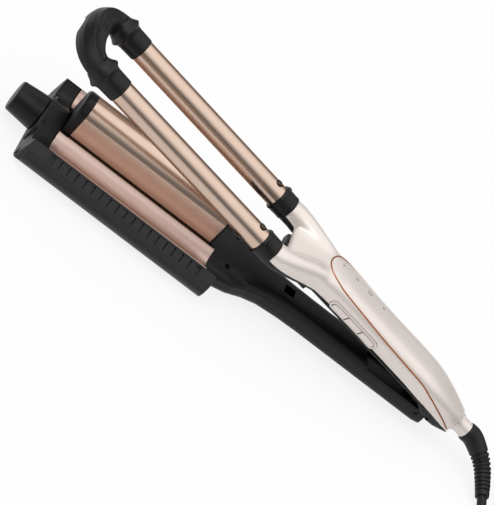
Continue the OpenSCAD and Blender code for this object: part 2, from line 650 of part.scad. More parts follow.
module catch_post() color("#2b2c2e") arm()
  bar(catch_x - hx - 2.9, catch_x - hx + 2.9, 2.9, -16, -shell_t);
module base_screws() color("#8d8f93") grip() for (x = base_screws_x, s = [-1, 1])
  zcyl(1.25, 0.3 - base_deep, -1.6, x, s * 11);

module tube(s) color("#c9ac9c") arm() difference() {
  xcyl(tube_r, 0, tube_len, s * tube_y);
  xcyl(tube_r - tube_wall, -1, tube_len + 1, s * tube_y);
  zcyl(1.3, 2, 10, tube_len - 6, s * tube_y);
}
module tube_near() tube(-1);
module tube_far() tube(1);
module tube_heaters() color("#d8d2c8") arm() for (s = [-1, 1])
  translate([0, s * tube_y, 0]) bar(10, tube_len - 16, 0.9 * bore_r, -0.32 * bore_r, 0.32 * bore_r);
module tube_screws() color("#9a9ca0") arm() for (s = [-1, 1]) difference() {
  union() {
    zcyl(1.28, 2.6, tube_r + 0.1, tube_len - 6, s * tube_y);
    translate([tube_len - 6, s * tube_y, tube_r - 0.02]) cylinder(r1 = 1.9, r2 = 1.5, h = 0.8, $fn = 48);
  }
  for (a = [0, 90]) translate([tube_len - 6, s * tube_y, tube_r + 0.6]) rotate([0, 0, a + 20])
    cube([2.2, 0.5, 1], center = true);
}
module collar(s) color("#1b1b1d") arm() difference() {
  union() {
    xcyl(tube_r - tube_wall - snug, tube_len - 10, tube_len + 0.1, s * tube_y);
    xcyl(tube_r + 0.7, tube_len, collar_x1 - 0.05, s * tube_y);
    xcyl(tube_r + 1.2, tube_len + 1, tube_len + 3.4, s * tube_y);
    xcyl(tube_r + 1.2, tube_len + 8, tube_len + 10.6, s * tube_y);
    intersection() {
      xcyl(tube_r + 2.6, tube_len + 4.2, tube_len + 7, s * tube_y);
      block(tube_len, collar_x1, -50, 50, -20, -1);
    }
  }
  zcyl(1.3, 2.5, 10, tube_len - 6, s * tube_y);
  xcyl(3, tube_len - 11, collar_x1 + 1, s * tube_y);
}
module collar_near() collar(-1);
module collar_far() collar(1);

// Outline of a sleeve of the cool tip and its flared rim, over places along the tube
sleeve = [[-21, 0], [-21, 8.4], [-19.5, 8.9], [-18, 9.7], [-16.6, 10.7], [-15.6, 11], [-14.9, 10.9],
  [-14.2, 10.1], [-13.4, 9.5], [-12.4, 9.1], [-11, 8.9], [-6.1, 8.8], [-6.1, 8.3], [-4.8, 8.3],
  [-4.8, 8.7], [0, 8.6], [0, 0]];
module cool_tip() color("#1c1c1e") arm() difference() {
  // Bow: places of its middle, their heights and the radii there
  bow = [[-17, tube_y, 0.4, 8.6], [-24.5, tube_y - 1.6, 1, 8.6], [-31.6, 16.4, 1.6, 8.6],
    [yoke_x - 0.9, 6.5, 1.8, 8.6]];
  union() {
    for (s = [-1, 1], i = [0:2]) hull() for (p = [bow[i], bow[i + 1]])
      translate([p[0], s * p[1], p[2]]) sphere(r = p[3], $fn = 24);
    hull() for (s = [-1, 1]) translate([bow[3][0], s * bow[3][1], bow[3][2]]) sphere(r = bow[3][3], $fn = 24);
    for (s = [-1, 1]) {
      translate([0, s * tube_y, 0]) rotate([0, 90, 0]) rotate_extrude($fn = 64)
        polygon([for (p = sleeve) [p[1] * tube_r / 8, p[0]]]);
      xcyl(tube_r - tube_wall - snug, -1, tube_in, s * tube_y);
    }
    // Grip ribs across the top of the bow
    for (i = [-2:2]) let (d = 2.6 * i)
      ycyl(0.7, -8.5, 8.5, bow[3][0] + d, bow[3][2] + sqrt(pow(bow[3][3], 2) - d * d) - 0.15);
  }
  // Room for the dial as the jaws close
  xcyl(dial_r + 0.9, -46, -14, 0, dial_z - tube_z);
}

module end_collar() color("#efe9e4") grip() difference() {
  union() {
    xcyl(end_r, end_x - 0.5, end_x + 2.6, 0, end_z, end_r - 0.3);
    xcyl(neck_r, end_x + 2.5, gland_x, 0, end_z);
    xcyl(end_r - 2, end_x - 6, end_x, 0, end_z);
  }
  xcyl(spigot_r + fit, end_x - 7, gland_x + 1, 0, end_z);
}

module circuit_board() color("#2f6b3a") grip() {
  bar(board_x[0], board_x[1], 11, 1, 2.6);
  for (i = [0:2]) block(key_x0 + i * key_pitch + button_len / 2 - 3, key_x0 + i * key_pitch + button_len / 2 + 3,
    -11.4, -8, 2.5, 5.5);
  for (x = [board_x[0] + 8, (board_x[0] + board_x[1]) / 2, board_x[1] - 6])
    bar(x, x + 3, 4, shell_t - base_deep + 0.05, 1.1);
}
module handle_wiring() color("#c9c4bb") grip() {
  for (s = [-1, 1]) xcyl(1.1, board_x[1], end_x - 9.4, s * 2.4, 1.8);
  for (s = [-1, 1]) xcyl(1.1, board_x[0] - 9, board_x[0], s * 6, 1.8);
}
module button_bezel() color("#e8e1dc") grip() difference() {
  key_window(key_x0 - 3, keys_x1 + 3, 0.8, key_y - 0.3, key_y + 2.2);
  for (i = [0:2]) key_window(key_x0 + i * key_pitch, key_x0 + i * key_pitch + button_len, 0.15,
    key_y - 2, key_y + 3);
}
module button(i) color("#efe9e4") grip() {
  key_window(key_x0 + i * key_pitch, key_x0 + i * key_pitch + button_len, 0, key_y - 0.9, key_y + 3);
  key_window(key_x0 + i * key_pitch, key_x0 + i * key_pitch + button_len, 1 - 0.3,
    key_y + 2.2 + gap, key_y + 3.4);
}
module button_minus() button(0);
module button_power() button(1);
module button_plus() button(2);

// ---- Hinge spring, wound on the pin ----
spring_w = 0.6;
spring_r = pin_d / 2 + spring_w + fit;
spring_n = 6;
module hinge_spring() color("#b9bbbf") skin([for (i = [0:spring_n * 20])
  let (f = i * 18, c = [hinge_x, 0, hinge_z]
    + [spring_r * cos(f), -spring_y + 2 * spring_y * i / (spring_n * 20), spring_r * sin(f)],
    u = [cos(f), 0, sin(f)])
  [for (j = [0:5]) let (g = -60 * j) c + spring_w * (cos(g) * u + sin(g) * [0, 1, 0])]]);

// ---- Cord ----
cord_r = cord_d / 2;
// Place of a point of the closed arm once the arms are open
function swung(p) = let (x = p[0] - hinge_x, z = p[2] - hinge_z)
  [hinge_x + x * cos(open_angle) + z * sin(open_angle), p[1],
    hinge_z - x * sin(open_angle) + z * cos(open_angle)];
gland = swung([gland_x + slip + hx, 0, hz + end_z]);
gx = gland[0];
gland_dir = [cos(open_angle), 0, -sin(open_angle)];
relief_path = concat([gland + gap * gland_dir], smooth([gland + 2 * gland_dir, gland + 8 * gland_dir,
  [gx + 16.1, -4.6, 15.8], [gx + 23.1, -10.5, 12.4], [gx + 28.6, -20, 8.6], [gx + 31.9, -29, 6.1]], 5));
relief_n = len(relief_path) - 1;
module strain_relief() color("#1c1c1e") {
  skin(hoops(relief_path, [for (i = [0:relief_n]) let (t = i / relief_n)
    (7 - 2.2 * pow(t, 0.8)) - (i > 2 && i % 2 == 0 ? 0.35 : 0)], 16));
  grip() xcyl(spigot_r + 1.4, end_x - 9, end_x - 7.3, 0, end_z);
  grip() xcyl(spigot_r, end_x - 9, gland_x + 1.5, 0, end_z);
}
relief_end = relief_path[relief_n];
relief_dir = heading(relief_path, relief_n);

// The coil: layers of loops that spiral in and out, seen from its middle
coil_c = [gx + 99.1, -14];
coil_z = cord_r + 1.2;
coil_p = cord_d + 0.6;
coil_layers = 4;
coil_a0 = 262;
function coil_rad(s) = coil_r + coil_p * abs(coil_turns - (s % (2 * coil_turns)));
function climb(s) = [for (k = 0, z = 0; k <= coil_layers; k = k + 1,
  z = z + (k < coil_layers ? min(max(2 * (s - k * coil_turns) + 0.5, 0), 1) : 0)) z][coil_layers];
function coil_pt(s) = let (r = coil_rad(s), a = coil_a0 + 360 * s)
  [coil_c[0] + r * cos(a), coil_c[1] + r * sin(a), coil_z + coil_p * climb(s)];
coil_n = round(coil_turns * coil_layers * 24);
coil_path = [for (i = [0:coil_n]) coil_pt(i * coil_turns * coil_layers / coil_n)];
module cord_coil() color("#141415") skin(hoops(coil_path, cord_r, 6));

coil_in = coil_path[0];
coil_out = coil_path[coil_n];
in_dir = heading(coil_path, 0);
out_dir = heading(coil_path, coil_n);
// A stretch of cord between two ends, straight for one diameter at each
function stretch(p0, d0, mids, p1, d1) = concat([p0],
  smooth(concat([p0 + cord_d * d0], mids, [p1 - cord_d * d1]), 2), [p1]);
run_path = stretch(relief_end, relief_dir, [[gx + 38.1, -42.5, 4.6], [gx + 46.6, -51, 4.5],
  [gx + 58.1, -57, 4.5], coil_in - 2.4 * cord_d * in_dir], coil_in, in_dir);
plug_at = [coil_c[0] + 17, 52, 6.9];
tail_path = stretch(coil_out, out_dir, [for (p = [[51.5, -15, 24.4], [55.5, 2, 19], [53, 20, 12.5],
  [44, 36, 8], [32, 47, 6.6]]) [coil_c[0] + p[0], p[1], p[2]]], plug_at, [-1, 0, 0]);
module cord_run() color("#141415") skin(hoops(run_path, cord_r, 8));
module cord_tail() color("#141415") skin(hoops(tail_path, cord_r, 8));

pile_a = coil_turns * coil_p / 2 + cord_r + 0.3;
pile_b = (coil_layers - 1) * coil_p / 2 + cord_r + 0.3;
tie_t = 0.8;
module cord_tie() color("#2b2c2e") translate([coil_c[0] - coil_r - coil_turns * coil_p / 2, coil_c[1],
  coil_z + (coil_layers - 1) * coil_p / 2]) difference() {
  block(-pile_a - tie_t, pile_a + tie_t, -4, 4, -pile_b - tie_t, pile_b + tie_t);
  block(-pile_a, pile_a, -5, 5, -pile_b, pile_b);
}
module plug_body() color("#1a1a1b") translate(plug_at) rotate([0, 0, 180]) {
  hull() {
    xcyl(4.6, 0, 2);
    xcyl(6, 10, 12);
  }
  hull() for (s = [-1, 1]) {
    xcyl(5, 11, 14, s * 2.4);
    xcyl(6.6, 34, 36, s * 7);
  }
}
module plug_pins() color("#c9cacc") translate(plug_at) rotate([0, 0, 180]) for (s = [-1, 1]) {
  xcyl(2, 36, 52, s * 9);
  xcyl(1.9, 51.9, 55, s * 9);
}
echo(cord_length = travelled(run_path) + travelled(coil_path) + travelled(tail_path),
  run = travelled(run_path), coil = travelled(coil_path), tail = travelled(tail_path));
echo(least_gap = min([for (i = [0:coil_n], j = [i + 12:coil_n])
  norm(coil_path[i] - coil_path[j])]) - cord_d,
  tail_gap = min([for (i = [2:len(tail_path) - 1], j = [0:coil_n - 8])
  norm(tail_path[i] - coil_path[j])]) - cord_d,
  run_gap = min([for (i = [0:len(run_path) - 3], j = [8:coil_n])
  norm(run_path[i] - coil_path[j])]) - cord_d);
echo(gland = gland, gland_dir = gland_dir, relief_end = relief_end, coil_in = coil_in, coil_out = coil_out);

jaw_tray();
guard_near();
guard_far();
trough_near();
trough_far();
trough_heaters();
front_bracket();
rear_bearing();
lever_cover();
lever_lid();
hinge_pin();
hinge_spring();
detent_ball();
jaw_screws();
jaw_wiring();
lift_guides();
barrel_shell();
barrel_front_ring();
barrel_rear_cap();
barrel_heater();
barrel_carrier();
lift_ramp();
dial_knob();
dial_shaft();
handle_shell();
handle_base();
panel_insert();
panel_trim();
button_bezel();
indicator_lights();
tube_near();
tube_far();
tube_heaters();
tube_screws();
collar_near();
collar_far();
cool_tip();
circuit_board();
catch_post();
end_collar();
base_screws();
handle_wiring();
button_minus();
button_power();
button_plus();
strain_relief();
cord_run();
cord_coil();
cord_tail();
cord_tie();
plug_body();
plug_pins();
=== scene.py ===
import json
import math

import bmesh
import bpy
from mathutils import Matrix, Vector
from mathutils.bvhtree import BVHTree


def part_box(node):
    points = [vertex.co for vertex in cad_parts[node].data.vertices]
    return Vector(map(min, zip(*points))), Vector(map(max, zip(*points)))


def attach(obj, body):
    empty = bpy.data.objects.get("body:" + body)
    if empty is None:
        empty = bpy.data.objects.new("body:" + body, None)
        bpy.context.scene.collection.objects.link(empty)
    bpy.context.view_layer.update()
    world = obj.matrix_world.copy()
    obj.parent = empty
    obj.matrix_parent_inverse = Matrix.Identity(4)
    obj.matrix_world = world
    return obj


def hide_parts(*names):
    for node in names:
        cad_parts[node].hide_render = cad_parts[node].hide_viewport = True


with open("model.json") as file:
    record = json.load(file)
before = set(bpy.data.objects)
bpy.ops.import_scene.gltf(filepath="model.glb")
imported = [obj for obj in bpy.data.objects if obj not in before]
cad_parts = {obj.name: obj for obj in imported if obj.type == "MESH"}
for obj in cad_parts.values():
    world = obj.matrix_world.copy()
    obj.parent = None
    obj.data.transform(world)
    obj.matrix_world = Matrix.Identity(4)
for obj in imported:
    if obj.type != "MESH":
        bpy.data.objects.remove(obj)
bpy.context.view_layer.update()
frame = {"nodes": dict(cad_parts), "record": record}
MM = 0.001

# ---- Camera, at the photograph's place ----
lens = bpy.data.cameras.new("camera")
lens.lens = 179.6
lens.sensor_width = 36
lens.clip_end = 20
camera = bpy.data.objects.new("camera", lens)
camera.location = (-0.25033, -1.28906, 0.93799)
camera.rotation_euler = [math.radians(a) for a in (45.4936, -36.3094, 15.6554)]
bpy.context.scene.collection.objects.link(camera)
bpy.context.scene.camera = camera

# ---- Places shared with the CAD source ----
HINGE = Vector((237, 0, 16.5))
OPEN_ANGLE = 10.74
TUBE_X, TUBE_Z, TUBE_Y = -57.5, 27.6, 25.15
EDGE_Z, RAMP_Z, SIDE_Z = 23, 17.3, 13
DIAL_DROP, DIAL_ROOM = 13.6, 13.4
CORD_D = 6.6
SIDES = (("near", -1), ("far", 1))

# Upper arm: x from the front of the tubes, z from their plane
ARM = (
    Matrix.Translation(HINGE)
    @ Matrix.Rotation(math.radians(OPEN_ANGLE), 4, "Y")
    @ Matrix.Translation(-HINGE)
    @ Matrix.Translation((TUBE_X, 0, TUBE_Z))
)
# Everything else stands in the frame as it is
AS_IS = Matrix.Identity(4)


# ---- Cord ----
def smooth(p, k):
    """Points on one smooth curve through the points p, k to a step."""
    out = []
    for i in range(len(p) - 1):
        a, b, c, d = p[max(i - 1, 0)], p[i], p[i + 1], p[min(i + 2, len(p) - 1)]
        for j in range(k):
            t = j / k
            out.append(
                0.5 * (2 * b + (c - a) * t + (2 * a - 5 * b + 4 * c - d) * t * t
                       + (3 * b - a - 3 * c + d) * t ** 3)
            )
    return out + [p[-1]]


def headings(p):
    """Way that a line of points runs at each of them."""
    return [(p[min(i + 1, len(p) - 1)] - p[max(i - 1, 0)]).normalized() for i in range(len(p))]


# The cord leaves the handle here, in a sleeve that bends down to the surface
gland = ARM @ Vector((330, 0, -0.5))
gland_dir = (ARM.to_3x3() @ Vector((1, 0, 0))).normalized()
relief_line = [gland + 0.3 * gland_dir] + smooth(
    [gland + 2 * gland_dir, gland + 8 * gland_dir]
    + [Vector((gland.x + dx, y, z)) for dx, y, z in (
        (16.1, -4.6, 15.8), (23.1, -10.5, 12.4), (28.6, -20, 8.6), (31.9, -29, 6.1))], 5)
relief_end = relief_line[-1]
relief_dir = headings(relief_line)[-1]

# The coil outside the view: four layers of loops that wind in and out
COIL_MIDDLE = Vector((gland.x + 99.1, -14, CORD_D / 2 + 1.2))
COIL_TURNS, COIL_R, COIL_STEP, COIL_LAYERS, COIL_START = 3.05, 26, CORD_D + 0.6, 4, 262


def coil_point(s):
    """Place of the cord after s turns of the coil, which winds in and out by layers."""
    r = COIL_R + COIL_STEP * abs(COIL_TURNS - s % (2 * COIL_TURNS))
    layer = sum(min(max(2 * (s - k * COIL_TURNS) + 0.5, 0), 1) for k in range(1, COIL_LAYERS))
    a = math.radians(COIL_START + 360 * s)
    return COIL_MIDDLE + Vector((r * math.cos(a), r * math.sin(a), COIL_STEP * layer))


COIL_COUNT = round(COIL_TURNS * COIL_LAYERS * 24)
coil_line = [coil_point(i * COIL_TURNS * COIL_LAYERS / COIL_COUNT) for i in range(COIL_COUNT + 1)]
coil_in, coil_out = coil_line[0], coil_line[-1]
in_dir, out_dir = headings(coil_line)[0], headings(coil_line)[-1]


def stretch(start, start_dir, between, end, end_dir):
    """A stretch of cord between two ends, straight for one diameter at each."""
    points = [start + CORD_D * start_dir] + between + [end - CORD_D * end_dir]
    return [start] + smooth(points, 4) + [end]


run_line = stretch(relief_end, relief_dir,
                   [Vector((gland.x + dx, y, z)) for dx, y, z in (
                       (38.1, -42.5, 4.6), (46.6, -51, 4.5), (58.1, -57, 4.5))]
                   + [coil_in - 2.4 * CORD_D * in_dir], coil_in, in_dir)
plug_at = Vector((COIL_MIDDLE.x + 17, 52, 6.9))
tail_line = stretch(coil_out, out_dir,
                    [Vector((COIL_MIDDLE.x + dx, y, z)) for dx, y, z in (
                        (51.5, -15, 24.4), (55.5, 2, 19), (53, 20, 12.5), (44, 36, 8),
                        (32, 47, 6.6))],
                    plug_at, Vector((-1, 0, 0)))
cord_line = run_line + coil_line[1:] + tail_line[1:]


# ---- Finishes ----
CLOUDS = 60               # soft clouds of gloss and tint per metre, about 17 mm across
GRAIN_DEPTH = 0.1 * MM
COAT_ROUGHNESS = 0.08


def linear(hex_code):
    """sRGB hex to linear colour."""
    parts = [int(hex_code[i:i + 2], 16) / 255 for i in (1, 3, 5)]
    return [p / 12.92 if p <= 0.04045 else ((p + 0.055) / 1.055) ** 2.4 for p in parts] + [1]


def add_node(tree, kind, settings=None, **links):
    """Adds a node; settings go to its properties or sockets, by name or number. Links go by the
    socket's name, or _ and its number, and hold the node and the output that they come from."""
    node = tree.nodes.new(kind)
    for key, value in (settings or {}).items():
        if isinstance(key, int) or key in node.inputs:
            node.inputs[key].default_value = value
        else:
            setattr(node, key, value)
    for socket, (source, output) in links.items():
        target = int(socket[1:]) if socket[0] == "_" else socket
        tree.links.new(source.outputs[output], node.inputs[target])
    return node


def finish(name, colour, metallic=0.0, roughness=0.5, specular=0.5, grain=0.0, grain_mm=0.5,
           mottle=0.0, coat=0.0, blotch=0.03, rim=None):
    """A surface with its colour, its gloss and its fine grain; grain_mm is the size of the grain,
    mottle how far its colour wanders, and rim the tint of its gloss at the edge."""
    mat = bpy.data.materials.new(name)
    mat.use_nodes = True
    tree = mat.node_tree
    shader = tree.nodes["Principled BSDF"]
    shader.inputs["Base Color"].default_value = linear(colour)
    shader.inputs["Metallic"].default_value = metallic
    shader.inputs["Specular IOR Level"].default_value = specular
    shader.inputs["Coat Weight"].default_value = coat
    shader.inputs["Coat Roughness"].default_value = COAT_ROUGHNESS
    if rim:
        shader.inputs["Specular Tint"].default_value = linear(rim)
    place = add_node(tree, "ShaderNodeTexCoord")
    wide = add_node(tree, "ShaderNodeTexNoise", {"Scale": CLOUDS, "Detail": 3},
                    Vector=(place, "Object"))
    rough = add_node(tree, "ShaderNodeMapRange",
                     {"To Min": roughness - blotch, "To Max": roughness + blotch}, Value=(wide, 0))
    tree.links.new(rough.outputs[0], shader.inputs["Roughness"])
    if mottle:
        value = add_node(tree, "ShaderNodeMapRange", {"To Min": 1 - mottle, "To Max": 1 + mottle},
                         Value=(wide, 0))
        tint = add_node(tree, "ShaderNodeHueSaturation", {"Color": linear(colour)}, Value=(value, 0))
        tree.links.new(tint.outputs[0], shader.inputs["Base Color"])
    if grain:
        fine = add_node(tree, "ShaderNodeTexNoise", {"Scale": 1000 / grain_mm, "Detail": 2},
                        Vector=(place, "Object"))
        bump = add_node(tree, "ShaderNodeBump", {"Strength": grain, "Distance": GRAIN_DEPTH},
                        Height=(fine, 0))
        tree.links.new(bump.outputs[0], shader.inputs["Normal"])
    return mat


# Heat-proof nylon, moulded: almost black, dull, with a fine spark-eroded grain
BLACK = finish("moulded_black_nylon", "#141415", roughness=0.42, specular=0.28, grain=0.15,
               mottle=0.04)
# The same nylon in the guards, a little greyer and drier
GUARD = finish("moulded_grey_nylon", "#242426", roughness=0.46, specular=0.3, grain=0.15,
               mottle=0.04)
# Titanium coat over aluminium tube, polished then coated: champagne, with long soft reflections
ROSE = finish("rose_gold_coated_tube", "#cfb7a7", metallic=1, roughness=0.28, blotch=0.02,
              rim="#c9a996")
# Titanium coat over pressed sheet: pinker and duller than the tubes
TROUGH = finish("pink_gold_coated_sheet", "#d3bab0", metallic=1, roughness=0.42, blotch=0.02,
                rim="#c9a996")
# Pearl lacquer over moulded ABS: warm white with mica in a clear coat
PEARL = finish("pearl_lacquer", "#e9dfd9", metallic=0.25, roughness=0.3, coat=0.35, mottle=0.015)
# Copper foil, hot stamped into a groove: a thin warm line with a bright edge
COPPER = finish("copper_foil", "#b06a3e", metallic=0.9, roughness=0.3)
# Black ABS of the dial: deeper and smoother than the jaw, with one soft highlight
KNOB = finish("moulded_gloss_black", "#0f0f10", roughness=0.4, specular=0.25)
# Ground steel of pins, posts and screws: cold and bright, with short reflections
STEEL = finish("bright_steel", "#b9bbbf", metallic=1, roughness=0.3)
# Bronze plate on the screws in the tubes: darker than the tubes, so the heads stand out
SCREW = finish("bronze_plated_steel", "#86705f", metallic=1, roughness=0.35)
# Soft PVC of the cord and its sleeve: black, faintly waxy
RUBBER = finish("moulded_cord_pvc", "#161617", roughness=0.5, specular=0.3, grain=0.2)
# Fired ceramic of the heaters: chalky off-white with no gloss
CERAMIC = finish("ceramic_heater", "#d8d2c8", roughness=0.7, grain=0.3)
# Silicone jacket of the wires: brick red with a soft shine
WIRE = finish("silicone_wire", "#7a2a22", roughness=0.5)
# Glass-filled nylon under the barrel: mid grey and dry, with a grain of fibres
NYLON = finish("glass_filled_nylon", "#55565a", roughness=0.55, grain=0.3)
# Solder mask on the circuit board: green under a smooth lacquer
BOARD = finish("circuit_board_mask", "#2f6b3a", roughness=0.4)
# Smoked light guides in the panel: grey-brown marks with a smooth face
LIGHT = finish("clear_light_guide", "#8f8782", roughness=0.3)
# Woven nylon hook-and-loop strap: dull, with threads 1 mm apart
STRAP = finish("woven_nylon_strap", "#2b2c2e", roughness=0.9, grain=0.6, grain_mm=1)
# Painted shade of the deep gap round the keys: a warm grey-brown plate that stands in for the shade
# there, a line in the pearl
KEY_GAP_SHADE = finish("painted_key_gap_shade", "#9c8d87", roughness=0.6)
SLOT_FINISH = {
    "black": BLACK, "guard": GUARD, "trough": TROUGH, "rose": ROSE, "ceramic": CERAMIC,
    "steel": STEEL, "wire": WIRE, "nylon": NYLON, "knob": KNOB, "pearl": PEARL, "copper": COPPER,
    "light": LIGHT, "board": BOARD, "button": PEARL, "cord": RUBBER, "strap": STRAP,
}
for part in frame["record"]["subparts"]:
    node = frame["nodes"][part["node"]]
    node.data.materials.clear()
    node.data.materials.append(SLOT_FINISH[part["material_slot"]])
frame["nodes"]["tube_screws"].data.materials[0] = SCREW
# The pin's ends are blackened to match the arms
frame["nodes"]["hinge_pin"].data.materials[0] = BLACK


# ---- Ways of making a mesh ----
def loft(rings):
    """Points and faces of a closed skin over rings with as many points each."""
    n, points = len(rings[0]), [p for ring in rings for p in ring]
    faces = [(i * n + j, i * n + (j + 1) % n, (i + 1) * n + (j + 1) % n, (i + 1) * n + j)
             for i in range(len(rings) - 1) for j in range(n)]
    faces += [tuple(range(n - 1, -1, -1)), tuple(range(len(points) - n, len(points)))]
    return points, faces


def turned_form(profile, y=0.0, z=0.0, n=64):
    """A form turned about a line along X: profile holds places along it and radii."""
    return loft([[Vector((x, y + r * math.cos(math.tau * j / n), z + r * math.sin(math.tau * j / n)))
                  for j in range(n)] for x, r in profile])


def gather(*forms):
    """Several forms as one list of points and faces."""
    points, faces = [], []
    for form_points, form_faces in forms:
        faces += [tuple(i + len(points) for i in face) for face in form_faces]
        points += form_points
    return points, faces


def mirrored(form):
    """The same form on the other side."""
    points, faces = form
    return [Vector((p[0], -p[1], p[2])) for p in points], [tuple(reversed(f)) for f in faces]


def mesh_from(name, form, place):
    """A mesh of the form, with its faces turned outwards."""
    mesh = bpy.data.meshes.new(name)
    mesh.from_pydata([(place @ Vector(p)) * MM for p in form[0]], [], form[1])
    work = bmesh.new()
    work.from_mesh(mesh)
    bmesh.ops.remove_doubles(work, verts=work.verts, dist=1e-6)
    bmesh.ops.recalc_face_normals(work, faces=work.faces)
    work.to_mesh(mesh)
    work.free()
    return mesh


def soften(mesh, angle):
    """Smooth shading, with a crisp edge where faces meet at more than angle degrees."""
    work = bmesh.new()
    work.from_mesh(mesh)
    for face in work.faces:
        face.smooth = True
    for edge in work.edges:
        edge.smooth = len(edge.link_faces) == 2 and edge.calc_face_angle(0) < math.radians(angle)
    work.to_mesh(mesh)
    work.free()


def evaluated(obj):
    """The object's mesh with its modifiers worked in."""
    bpy.context.view_layer.update()
    return bpy.data.meshes.new_from_object(obj.evaluated_get(bpy.context.evaluated_depsgraph_get()))


def piece(name, form, finish_of, body, replaces=(), place=AS_IS, angle=35, blend_mm=0.0,
          passes=0, settle=None):
    """A piece of the object, with crisp edges over angle degrees. blend_mm melts its forms into
    one skin, and passes smooths that skin; settle moves its points, in millimetres, afterwards."""
    mesh = mesh_from(name, form, place)
    obj = bpy.data.objects.new(name, mesh)
    bpy.context.scene.collection.objects.link(obj)
    if blend_mm:
        melt = obj.modifiers.new("melt", "REMESH")
        melt.mode, melt.voxel_size = "VOXEL", blend_mm * MM
        if passes:
            ease = obj.modifiers.new("ease", "SMOOTH")
            ease.factor, ease.iterations = 0.5, passes
        obj.data = evaluated(obj)
        obj.modifiers.clear()
    if settle:
        back = place.inverted()
        for v in obj.data.vertices:
            v.co = (place @ settle(back @ (v.co / MM))) * MM
    soften(obj.data, angle)
    obj.data.materials.clear()
    obj.data.materials.append(finish_of)
    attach(obj, body)
    if replaces:
        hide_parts(*replaces)
    return obj


def hoop(centre, along, r, n):
    """Ring of n points round a line."""
    side = Vector((0, 0, 1)).cross(along).normalized()
    over = along.cross(side)
    return [centre + r * math.cos(math.tau * (j + 0.5) / n) * side
            + r * math.sin(math.tau * (j + 0.5) / n) * over for j in range(n)]


def rod(line, r, n=10):
    """A round rod along a line of points; r is one radius or one for each point."""
    return loft([hoop(p, d, r[i] if isinstance(r, list) else r, n)
                 for i, (p, d) in enumerate(zip(line, headings(line)))])


def power(v, e):
    """v to the power e, with the sign of v."""
    return math.copysign(abs(v) ** e, v)


def table(rows, x):
    """Value at x of rows of places and values."""
    for (x0, v0), (x1, v1) in zip(rows, rows[1:]):
        if x <= x1:
            return v0 + (v1 - v0) * max(x - x0, 0) / (x1 - x0)
    return rows[-1][1]


def eased(rows, k=3):
    """The same rows with smooth steps between them."""
    return [(p.x, p.y) for p in smooth([Vector((x, v, 0)) for x, v in rows], k)]


# ---- Cool tip: a broad bow between two flared sleeves ----
half_bow = [Vector(p) for p in (
    (-12.5, 25.15, 0.3), (-17, 25.5, 0.3), (-21, 24.9, 0.1), (-25.2, 23.2, -0.1), (-29.2, 19.8, 0),
    (-32.2, 14.4, 0.2), (-34, 7.6, 0.4))]
bow_line = smooth(half_bow + [Vector((-34.4, 0, 0.5))]
                  + [Vector((p.x, -p.y, p.z)) for p in reversed(half_bow)], 5)
# Section of the bow, out from its middle and up: a slanted outer face, a crease, a dished top
BOW_SECTION = [(8.4, -4.5), (8.7, -1), (8.3, 2.6), (6.8, 5.7), (5.2, 8.3), (4.3, 9.1), (2.6, 8.5),
               (0.4, 8), (-2.2, 8), (-4.6, 8.2), (-6.4, 7.2), (-7.6, 5.2), (-8.2, 1), (-7.7, -4),
               (-6.4, -6), (-4, -6.7), (1, -6.8), (5.4, -6.6), (7.4, -5.8)]


def bow_out(i):
    """Way out from the middle of the bow at its i-th place."""
    d = headings(bow_line)[i]
    out = Vector((d.y, -d.x, 0)).normalized()
    inwards = (out.x > 0 and abs(bow_line[i].y) < 24) or out.y * bow_line[i].y < -0.5
    return -out if inwards else out


def bow_height(i):
    """The bow is lower towards its two sleeves."""
    return 1.04 - 0.26 * min(1, (abs(bow_line[i].y) / 25) ** 2)


def bow_top(i, n, lift=0.0):
    """Point on top of the bow at its i-th place, n out from its middle, lift over its skin."""
    rise = table(sorted((m, z) for m, z in BOW_SECTION if z > 4.9), n)
    return bow_line[i] + n * bow_out(i) + Vector((0, 0, rise * bow_height(i) + lift))


def bow_ring(i):
    """Section of the bow at its i-th place."""
    return [bow_line[i] + n * bow_out(i) + Vector((0, 0, z * bow_height(i)))
            for n, z in BOW_SECTION]


# Sleeve on a tube, with its flared rim: places along the tube and radii
SLEEVE = [(-22, 8), (-20.6, 8.6), (-19, 9.1), (-17.6, 9.8), (-16.4, 10.7), (-15.5, 11.1),
          (-14.9, 11), (-14.3, 10.3), (-13.5, 9.6), (-12.4, 9.15), (-11, 8.9), (-6, 8.75),
          (-0.4, 8.65), (0, 8.3)]
sleeve_form = turned_form(SLEEVE, TUBE_Y, 0, 96)
middle = len(bow_line) // 2
# Grip ribs along the top of the bow, thin at their ends, and the edge over its crease
ribs = [rod([bow_top(i, n, -0.3) for i in range(middle - 4, middle + 6)], [0.3] + [0.95] * 8 + [0.3])
        for n in (3.0, 0.6, -1.8, -4.2)]
crest = rod([bow_top(i, 4.6, -0.25) for i in range(7, len(bow_line) - 7)], 0.5)


def clear_of_dial(p):
    """Keeps the bow out of the room that the dial takes as the jaws close."""
    y, z = p.y, p.z + DIAL_DROP
    r = math.hypot(y, z)
    if r < DIAL_ROOM and p.x < -13:
        return Vector((p.x, y * DIAL_ROOM / r, z * DIAL_ROOM / r - DIAL_DROP))
    return p


piece("cool_tip_bow",
      gather(loft([bow_ring(i) for i in range(len(bow_line))]), sleeve_form, mirrored(sleeve_form),
             *ribs, crest),
      BLACK, "upper_arm", ("cool_tip",), ARM, angle=60, blend_mm=0.42, passes=2,
      settle=clear_of_dial)

# ---- Bracket at the front: one slab that arches over the shaft and dips under the tips ----
# Height of its top over places out from its middle
SLAB_RISE = eased([(0, 26.8), (3, 26.4), (6, 25.3), (9, 23.6), (12, 21.8), (15, 20.1), (18, 18.5),
                   (21, 17.3), (25, 16.8), (28, 17.1), (31, 18.4), (33.5, 20.4), (35.9, 22.8)])


